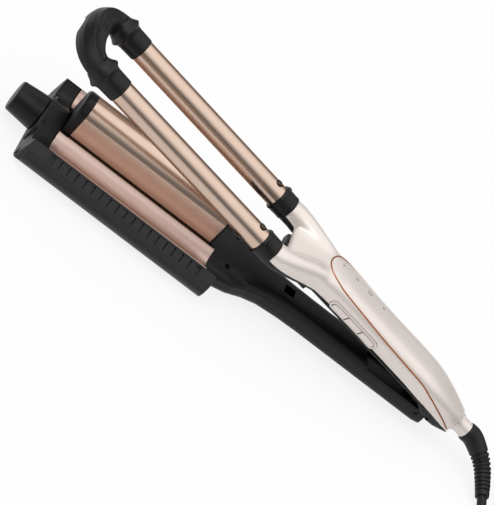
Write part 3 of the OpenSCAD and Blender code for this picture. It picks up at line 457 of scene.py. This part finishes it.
def slab_ring(x, half, low, shrink=0.0):
    """Section of the slab at x, half wide, standing on low, with its top drawn in by shrink."""
    ys = [half * k / 28 for k in range(-28, 29)]
    ring = [Vector((x, y, table(SLAB_RISE, abs(y)) - shrink)) for y in ys]
    return ring + [Vector((x, half, low)), Vector((x, -half, low))]


slab_front = loft([slab_ring(-74.7, 18.6, 4, 0.5), slab_ring(-74.5, 18.9, 4, 0.15),
                   slab_ring(-74.1, 19, 4), slab_ring(-70.7, 19, 4)])
slab_back = loft([slab_ring(-70.7, 35.9, 2.2), slab_ring(-60.7, 35.9, 2.2),
                  slab_ring(-60.3, 35.8, 2.2, 0.2)])
piece("bracket_slab", gather(slab_front, slab_back), BLACK, "lower_arm",
      ("front_bracket",), angle=38)

# ---- Comb guards: a slotted band let into the slanted face ----
GUARD_X0, GUARD_X1, GUARD_IN, TOP_A, JAW_A = -70.8, 72.5, 36.25, 37, 42.5
SLOT_X0, SLOT_X1, SLOTS = GUARD_X0 + 15.5, GUARD_X1 - 12.9, 19
BAND_DEEP, SLOT_DEEP, BAND_END = 0.45, 2, 3.2
face_out = Vector((0, -(EDGE_Z - RAMP_Z), JAW_A - TOP_A)).normalized()


def guard_ring(x, depth):
    """Section of the guard at x, with its slanted face let in by depth."""
    top, low = Vector((x, -TOP_A, EDGE_Z)), Vector((x, -JAW_A, RAMP_Z))
    run = low - top
    a, b = top + 0.1 * run, top + 0.86 * run
    return [Vector((x, -GUARD_IN, EDGE_Z)), top + Vector((0, 0.25, 0)), top + 0.04 * run, a,
            a + 0.01 * run - depth * face_out, b - 0.01 * run - depth * face_out, b,
            low - 0.03 * run, low + Vector((0, 0, -0.4)), Vector((x, -JAW_A, SIDE_Z)),
            Vector((x, -JAW_A + 2, SIDE_Z)), Vector((x, -JAW_A + 2, 16.5)),
            Vector((x, -GUARD_IN, 20.8))]


guard_rings = [guard_ring(GUARD_X0, 0), guard_ring(GUARD_X0 + 0.3, 0),
               guard_ring(SLOT_X0 - BAND_END, 0), guard_ring(SLOT_X0 - BAND_END, BAND_DEEP)]
for i in range(SLOTS):
    x = SLOT_X0 + i * (SLOT_X1 - SLOT_X0) / (SLOTS - 1)
    w = 1.7 if i in (0, SLOTS - 1) else 0.6    # half width, more in the two end slots
    guard_rings += [guard_ring(x - w, BAND_DEEP), guard_ring(x - w, SLOT_DEEP),
                    guard_ring(x + w, SLOT_DEEP), guard_ring(x + w, BAND_DEEP)]
guard_rings += [guard_ring(SLOT_X1 + BAND_END, BAND_DEEP), guard_ring(SLOT_X1 + BAND_END, 0),
                guard_ring(GUARD_X1, 0)]
guard_form = loft(guard_rings)
piece("guard_near_band", guard_form, GUARD, "lower_arm", ("guard_near",), angle=20)
piece("guard_far_band", mirrored(guard_form), GUARD, "lower_arm", ("guard_far",), angle=20)

# ---- Handle: branches, web and body melted into one pearl skin ----
# Half width, top and parting line over places along the arm
BODY_A = eased([(168, 12.5), (172, 16), (177, 18), (183, 18.1), (192, 17.3), (205, 16.8), (240, 16.5),
                (281, 16.5), (291, 15.9), (299, 14.7), (307, 13.1), (313, 11.3), (317, 9.7),
                (320, 8.6)])
BODY_TOP = [(168, 7), (172, 9.9), (177, 12.4), (185, 14.3), (200, 14.7), (240, 14.1), (270, 14.2),
            (282, 14), (291, 13.2), (299, 11.9), (307, 10.2), (313, 8.8), (317, 7.9), (320, 7.2)]
PARTING = [(140, -0.5), (270, -0.5), (290, -1.6), (299, -2.7), (307, -4), (316, -6), (320, -7.2)]
# Each branch: place along the arm, its middle to the side, half width, top
BRANCH = [(141.6, 25.15, 8.5, 8.2), (148, 24.5, 8.6, 9), (155, 22.3, 8.7, 10.2),
          (163, 18.6, 8.8, 11.3), (172, 14, 8.7, 12.4), (182, 9.4, 8.6, 13.2)]


def domed_ring(x, y, a, top, e, n=44):
    """A section with a domed top, and a bottom that lies under the parting line."""
    z0, skirt = table(PARTING, x), 3.5
    ring = []
    for j in range(n):
        t = math.tau * (j + 0.5) / n
        h = top - z0 if math.sin(t) > 0 else skirt
        ring.append(Vector((x, y + a * power(math.cos(t), 2 / e),
                            z0 + h * power(math.sin(t), 2 / e))))
    return ring


body_form = loft([domed_ring(x, 0, a, table(BODY_TOP, x), 3.6) for x, a in BODY_A])
branch_rows = smooth([Vector((x, y, a)) for x, y, a, top in BRANCH], 3)
branch_tops = [(x, top) for x, y, a, top in BRANCH]
branch_form = loft([domed_ring(p.x, p.y, p.z, table(branch_tops, p.x), 2.4) for p in branch_rows])


def bolster(x, half, z, r):
    """A round roll lying across the handle."""
    ends = [(-half - r * math.cos(a), r * math.sin(a)) for a in (0.05, 0.4, 0.8, 1.2)]
    rows = ends + [(-half, r), (0, r), (half, r)] + [(-y, q) for y, q in reversed(ends)]
    turns = [math.tau * j / 32 for j in range(32)]
    return loft([[Vector((x + q * math.cos(t), y, z + q * math.sin(t))) for t in turns]
                 for y, q in rows])


web = [bolster(*roll) for roll in ((155.4, 14.5, -1, 4.4), (159.6, 13.5, -0.6, 5.6),
                                   (165, 10, -0.2, 7.2), (171, 8, 0.6, 9))]
handle = piece("handle_skin", gather(body_form, branch_form, mirrored(branch_form), *web), PEARL,
               "upper_arm", ("handle_shell", "panel_insert"), ARM, angle=50, blend_mm=0.8,
               passes=9)


def cut_handle(obj):
    """Cuts the handle's skin off along the parting line."""
    outline = [(100, 60), (100, PARTING[0][1])] + PARTING[1:] + [(340, -12), (340, 60)]
    form = loft([[Vector((x, y, z)) for x, z in outline] for y in (-60, 60)])
    keep = bpy.data.objects.new("keep", mesh_from("keep", form, ARM))
    bpy.context.scene.collection.objects.link(keep)
    cut = obj.modifiers.new("cut", "BOOLEAN")
    cut.operation, cut.object, cut.solver = "INTERSECT", keep, "EXACT"
    obj.data = evaluated(obj)
    obj.modifiers.clear()
    bpy.data.objects.remove(keep)
    soften(obj.data, 50)


def smoothed(work, verts, times):
    """Draws the given points towards their neighbours, that many times."""
    for _ in range(times):
        bmesh.ops.smooth_vert(work, verts=verts, factor=0.5, use_axis_x=True, use_axis_y=True,
                              use_axis_z=True)


def ease_fork(obj):
    """Draws the skin smooth where the two branches run into the body."""
    back = ARM.inverted()
    work = bmesh.new()
    work.from_mesh(obj.data)
    spots = [(v, back @ (v.co / MM)) for v in work.verts]
    fork = [v for v, p in spots if 153 < p.x < 196 and p.z > 1.5
            and abs(p.y) < 13.5 - 0.12 * max(0, p.x - 176)]
    smoothed(work, fork, 45)
    smoothed(work, [v for v, p in spots if 150 < p.x < 205 and p.z > 1.5], 12)
    work.to_mesh(obj.data)
    work.free()


ease_fork(handle)
cut_handle(handle)
skin_tree = BVHTree.FromPolygons([v.co / MM for v in handle.data.vertices],
                                 [tuple(f.vertices) for f in handle.data.polygons])


def on_skin(start, way):
    """Where a line from start, in arm places, first meets the handle's skin."""
    hit = skin_tree.ray_cast(ARM @ Vector(start), ARM.to_3x3() @ Vector(way))[0]
    return (ARM.inverted() @ hit) if hit else Vector(start)


# ---- Copper line round the top panel, then down the sides to the end ----
TRIM_PLAN = [(178, 0), (178.6, 4), (180.6, 8), (184.6, 11), (191, 12.9), (201, 13.8), (225, 14.6),
             (250, 15.1), (268, 15.4)]
TRIM_SIDE = [(278, 8.6), (288, 6.6), (297, 4), (305, 1.2), (312, -1.8), (317.5, -4.8)]
plan = smooth([Vector((x, -y, 0)) for x, y in reversed(TRIM_PLAN[1:])]
              + [Vector((x, y, 0)) for x, y in TRIM_PLAN], 4)
plan_hits = [on_skin((p.x, p.y, 60), (0, 0, -1)) for p in plan]
side = [on_skin((x, 60, z), (0, -1, 0)) for x, z in TRIM_SIDE]
line = smooth([Vector((p.x, -p.y, p.z)) for p in reversed(side)] + plan_hits[::2] + side, 3)
piece("trim_line", rod(line, 0.5, 10), COPPER, "upper_arm", ("panel_trim",), ARM)

# ---- Keys: a pill let into the near side, with three keys in it ----
def pill(x0, x1, z0, z1, n=8):
    """Outline of a pill in the plane of the side wall, as places along x and z."""
    r, zc = (z1 - z0) / 2, (z0 + z1) / 2
    arc = [(r * math.cos(math.pi * k / n), r * math.sin(math.pi * k / n)) for k in range(n + 1)]
    top = [(x1 - r - (x1 - x0 - 2 * r) * k / 12, z1) for k in range(13)]
    low = [(x0 + r + (x1 - x0 - 2 * r) * k / 12, z0) for k in range(13)]
    return ([(x1 - r + b, zc + a) for a, b in reversed(arc)][:-1] + top
            + [(x0 + r - b, zc + a) for a, b in arc][1:-1] + low)


def slab(x0, x1, z0, z1, lean):
    """Outline of a key with square ends that lean, as places along x and z."""
    n = 8
    return ([(x1 + lean * (k / n - 0.5), z0 + (z1 - z0) * k / n) for k in range(n)]
            + [(x1 + lean / 2 + (x0 - x1) * k / n, z1) for k in range(n)]
            + [(x0 + lean / 2 - lean * k / n, z1 - (z1 - z0) * k / n) for k in range(n)]
            + [(x0 - lean / 2 + (x1 - x0) * k / n, z0) for k in range(n)])


def let_in(outline, steps):
    """A pad on the near side wall: steps hold how far in from its outline, and how high."""
    lowest = -0.2                  # the skin ends just under this height, at the parting line
    cx = sum(x for x, z in outline) / len(outline)
    cz = sum(z for x, z in outline) / len(outline)
    rings = []
    for inset, high in steps:
        ring = []
        for x, z in outline:
            d, reach = math.hypot(x - cx, z - cz) or 1, abs(x - cx)
            along = math.copysign(min(reach, inset * min(1, reach / d * 1.4)), x - cx)
            up = math.copysign(min(abs(z - cz), inset), z - cz)
            seat = on_skin((x - along, -60, max(z - up, lowest)), (0, 1, 0))
            ring.append(Vector((seat.x, seat.y - high, z - up)))
        rings.append(ring)
    return loft(rings)


# Painted shade: a grey-brown plate a little wider than the surround, so that a shaded outline shows
# round it
piece("key_surround_painted_shade", let_in(pill(194.4, 238.6, -1.7, 5.6), [(0, -0.5), (0, 0.12), (0.3, 0.16)]),
      KEY_GAP_SHADE, "upper_arm", place=ARM)
# A raised rim, hollow inside so that the keys have room to go down
SURROUND_STEPS = [(0, -0.5), (0, 0.7), (0.25, 0.95), (0.8, 1.05), (1.1, 0.9), (1.15, 0.06)]
piece("key_surround", let_in(pill(194.8, 238.2, -1.4, 5.3), SURROUND_STEPS),
      PEARL, "upper_arm", ("button_bezel",), ARM)
# Painted shade: a grey-brown plate under the keys, so that shaded gaps show round and between them
piece("key_gap_painted_shade", let_in(pill(196.0, 237.0, -0.3, 4.2), [(0, -0.1), (0, 0.14), (0.3, 0.16)]),
      KEY_GAP_SHADE, "upper_arm", place=ARM)
# The keys stand over the surround's floor by more than their travel
KEY_STEPS = [(0, 0.94), (0, 1.28), (0.3, 1.46), (0.9, 1.5)]
KEY_Z0, KEY_Z1, KEY_LEAN = -0.1, 4.0, 1.2


def end_key(x0, x1, end):
    """Outline of a key at an end of the row, -1 or 1: round there, and leaning at its other end."""
    cut_x, middle_z = x1 if end < 0 else x0, (KEY_Z0 + KEY_Z1) / 2
    whole = pill(x0 - (6 if end > 0 else 0), x1 + (6 if end < 0 else 0), KEY_Z0, KEY_Z1)
    kept = [p for p in whole if (p[0] - cut_x) * end >= 0]
    upper = sorted([p for p in kept if p[1] > middle_z], key=lambda p: -p[0])
    lower = sorted([p for p in kept if p[1] <= middle_z], key=lambda p: p[0])
    high, low = (cut_x + KEY_LEAN / 2, KEY_Z1), (cut_x - KEY_LEAN / 2, KEY_Z0)
    return [high] + upper + lower + [low] if end < 0 else [low] + lower + upper + [high]


for key, outline in (("minus", end_key(197.0, 209.4, -1)),
                     ("power", slab(210.4, 222.8, KEY_Z0, KEY_Z1, KEY_LEAN)),
                     ("plus", end_key(223.8, 236.0, 1))):
    piece("key_" + key, let_in(outline, KEY_STEPS), PEARL, "key_" + key,
          ("button_" + key,), ARM)

# ---- Moulded sleeve that carries the cord out, cut into ribs ----
STEP = 0.4                                     # between two rings of the sleeve
THICK, TAPER, PLAIN = 7.0, 2.3, 8              # radius at the handle, its loss, from where on
RIBS_FROM, RIB_PITCH, RIB_WIDE, RIB_DEEP = 17, 2.9, 1.7, 0.8
sleeve_line = [relief_line[0]]
for a, b in zip(relief_line, relief_line[1:]):
    count = max(1, round((b - a).length / STEP))
    sleeve_line += [a.lerp(b, (k + 1) / count) for k in range(count)]
travelled, sleeve_r = 0.0, []
sleeve_length = sum((b - a).length for a, b in zip(sleeve_line, sleeve_line[1:]))
for k, point in enumerate(sleeve_line):
    if k:
        travelled += (point - sleeve_line[k - 1]).length
    r = THICK - TAPER * min(1, max(0, travelled - PLAIN) / (sleeve_length - PLAIN))
    ribbed = RIBS_FROM < travelled < sleeve_length - 3
    if ribbed and (travelled - RIBS_FROM) % RIB_PITCH > RIB_WIDE:
        r -= RIB_DEEP
    if travelled < 1.2:                        # round edge where it meets the handle
        r -= 0.5 * (1 - travelled / 1.2)
    sleeve_r.append(r)
cord_sleeve = piece("cord_sleeve", rod(sleeve_line, sleeve_r, 40), RUBBER, "cord_swivel",
                    ("strain_relief",), angle=40)

# ---- Collars where the tubes enter the handle: a plain cone with a lip at its front ----
COLLAR = [(130.3, 8), (130.4, 9.1), (130.9, 9.5), (131.8, 9.6), (132.5, 9.35), (134.5, 9.25),
          (137.5, 9.15), (139.6, 9.1), (140.4, 9.2), (141.2, 9.2), (141.7, 8.9), (141.8, 8)]
for side_name, sign in SIDES:
    cone = turned_form(COLLAR, TUBE_Y, 0, 72)
    nub = [Vector((132.2, sign * (TUBE_Y + 6.2), 6.6)), Vector((134.6, sign * (TUBE_Y + 6.3), 6.5))]
    piece("collar_" + side_name + "_cone",
          gather(mirrored(cone) if sign < 0 else cone, rod(nub, 1.3, 12)), BLACK, "upper_arm",
          ("collar_" + side_name,), ARM, angle=40)

# ---- Cross-headed screws that hold the tubes, in their countersinks ----
SCREW_X, CROSS_Z, CROSS_HALF, CROSS_R = 124.0, 8.28, 1.5, 0.26
COUNTERSINK = ((2.6, 7.4), (2.6, 8.36), (2.2, 8.42), (2.0, 8.1), (1.2, 8.0))    # radii and heights
for side_name, sign in SIDES:
    sink = loft([[Vector((SCREW_X + r * math.cos(math.tau * j / 40),
                          sign * TUBE_Y + r * math.sin(math.tau * j / 40), z)) for j in range(40)]
                 for r, z in COUNTERSINK])
    piece("countersink_" + side_name, sink, BLACK, "upper_arm", place=ARM)
for side_name, sign in SIDES:
    head, arms = Vector((SCREW_X, sign * TUBE_Y, CROSS_Z)), []
    for turn in (20, 110):
        w = Vector((math.cos(math.radians(turn)), math.sin(math.radians(turn)), 0))
        arms.append(rod([head - CROSS_HALF * w, head + CROSS_HALF * w], CROSS_R, 8))
    piece("screw_cross_" + side_name, gather(*arms), SCREW, "upper_arm", place=ARM)

# ---- Marks of the three settings, printed beside the panel's middle ----
def printed(outline, high=0.08):
    """A thin printed mark on top of the handle, from an outline in plan."""
    seat = [on_skin((x, y, 60), (0, 0, -1)) for x, y in outline]
    return loft([[p + Vector((0, 0, -0.2)) for p in seat], [p + Vector((0, 0, high)) for p in seat]])


def disc(x, y, r, n=16):
    """Outline of a dot."""
    return [(x + r * math.cos(math.tau * k / n), y + r * math.sin(math.tau * k / n))
            for k in range(n)]


def bar_mark(x, y, half_x, half_y):
    """Outline of a bar."""
    return [(x - half_x, y - half_y), (x + half_x, y - half_y), (x + half_x, y + half_y),
            (x - half_x, y + half_y)]


MARK_Y = 4.2
marks = [printed(disc(227, MARK_Y, 0.95))]
for x, count in ((187, 1), (200, 2), (213, 3)):
    marks += [printed(bar_mark(x + 1.5 * k - 0.75 * (count - 1), MARK_Y, 0.35, 1.3))
              for k in range(count)]
piece("setting_marks", gather(*marks), LIGHT, "upper_arm", ("indicator_lights",), ARM)

# ---- Woven strap round the coil, with its free end laid over itself ----
tie_low, tie_high = (Vector(c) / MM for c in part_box("cord_tie"))
tie_mid, tie_half = (tie_low + tie_high) / 2, (tie_high - tie_low) / 2


def strap_loop(count, thick, start, turn):
    """Band round the coil's turns: count steps of its way round, from start over turn."""
    rings = []
    for k in range(count + 1):
        a = start + turn * k / count
        over = 0.55 * max(0, k / count - 0.88) / 0.12    # the last eighth lies over the first
        way = Vector((power(math.cos(a), 0.5), 0, power(math.sin(a), 0.5)))
        outer, inner = (
            tie_mid + Vector(((tie_half.x - 0.9 + over - d) * way.x, 0,
                              (tie_half.z - 0.9 + over - d) * way.z)) for d in (0, thick))
        edge = Vector((0, tie_half.y - 0.1, 0))
        rings.append([outer - edge, outer + edge, inner + edge, inner - edge])
    return loft(rings)


coil_strap = piece("coil_strap", strap_loop(110, 0.8, 0.6, math.tau * 1.1), STRAP, "cord_swivel",
                   ("cord_tie",), angle=50)

# ---- The cord itself ----
curve = bpy.data.curves.new("cord", "CURVE")
curve.dimensions = "3D"
curve.bevel_depth = CORD_D / 2 * MM
curve.bevel_resolution = 4
spline = curve.splines.new("POLY")
spline.points.add(len(cord_line) - 1)
for point, place in zip(spline.points, cord_line):
    point.co = (*(place * MM), 1)
cord = bpy.data.objects.new("cord", curve)
bpy.context.scene.collection.objects.link(cord)
cord.data.materials.append(RUBBER)
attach(cord, "cord_swivel")
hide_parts("cord_run", "cord_coil", "cord_tail")

# ---- Floor and light ----
FLOOR_HALF, FLOOR_Z = 8, -0.0002               # metres
floor_mesh = bpy.data.meshes.new("floor")
floor_mesh.from_pydata([(x * FLOOR_HALF, y * FLOOR_HALF, FLOOR_Z)
                        for x, y in ((-1, -1), (1, -1), (1, 1), (-1, 1))], [], [(0, 1, 2, 3)])
floor = bpy.data.objects.new("floor", floor_mesh)
bpy.context.scene.collection.objects.link(floor)
# White paper sweep: its own white shows to the eye and in gloss, and a sixth of it takes the shadow
FLOOR = bpy.data.materials.new("white_paper_sweep")
FLOOR.use_nodes = True
paper = FLOOR.node_tree
plain = paper.nodes["Principled BSDF"]
plain.inputs["Base Color"].default_value = linear("#f2f2f2")
plain.inputs["Roughness"].default_value = 0.95
plain.inputs["Specular IOR Level"].default_value = 0.1
path = add_node(paper, "ShaderNodeLightPath")
either = add_node(paper, "ShaderNodeMath", {"operation": "MAXIMUM"},
                  _0=(path, "Is Camera Ray"), _1=(path, "Is Glossy Ray"))
seen = add_node(paper, "ShaderNodeMath", {"operation": "MAXIMUM"},
                _0=(either, 0), _1=(path, "Is Transmission Ray"))
share = add_node(paper, "ShaderNodeMath", {"operation": "MULTIPLY", 1: 0.84}, _0=(seen, 0))
white = add_node(paper, "ShaderNodeEmission", {"Color": (1, 1, 1, 1), "Strength": 1.0})
mix = add_node(paper, "ShaderNodeMixShader", _0=(share, 0), _1=(plain, 0), _2=(white, 0))
paper.links.new(mix.outputs[0], paper.nodes["Material Output"].inputs[0])
floor.data.materials.append(FLOOR)

# A broad soft light overhead, falling off to a dim room at the level of the eye
world = bpy.data.worlds.new("soft_overhead_light")
bpy.context.scene.world = world
world.use_nodes = True
sky = world.node_tree
way = add_node(sky, "ShaderNodeTexCoord")
height = add_node(sky, "ShaderNodeSeparateXYZ", Vector=(way, "Generated"))
level = add_node(sky, "ShaderNodeMapRange",
                 {"From Min": 0.35, "From Max": 0.85, "To Min": 0.16, "To Max": 1.35,
                  "interpolation_type": "SMOOTHSTEP"}, Value=(height, "Z"))
sky.nodes["Background"].inputs["Color"].default_value = (1, 1, 1, 1)
sky.links.new(level.outputs[0], sky.nodes["Background"].inputs["Strength"])


def lamp(name, place, aim, size, watts):
    """A soft rectangular lamp at place, turned to aim."""
    data = bpy.data.lights.new(name, "AREA")
    data.shape = "RECTANGLE"
    data.size, data.size_y = size
    data.energy = watts
    obj = bpy.data.objects.new(name, data)
    obj.location = place
    obj.rotation_euler = (Vector(aim) - Vector(place)).to_track_quat("-Z", "Y").to_euler()
    bpy.context.scene.collection.objects.link(obj)


lamp("key_lamp", (-0.7, -0.5, 1.5), (0.1, 0, 0.03), (1.2, 1.2), 6)

bpy.context.scene.view_settings.view_transform = "Standard"
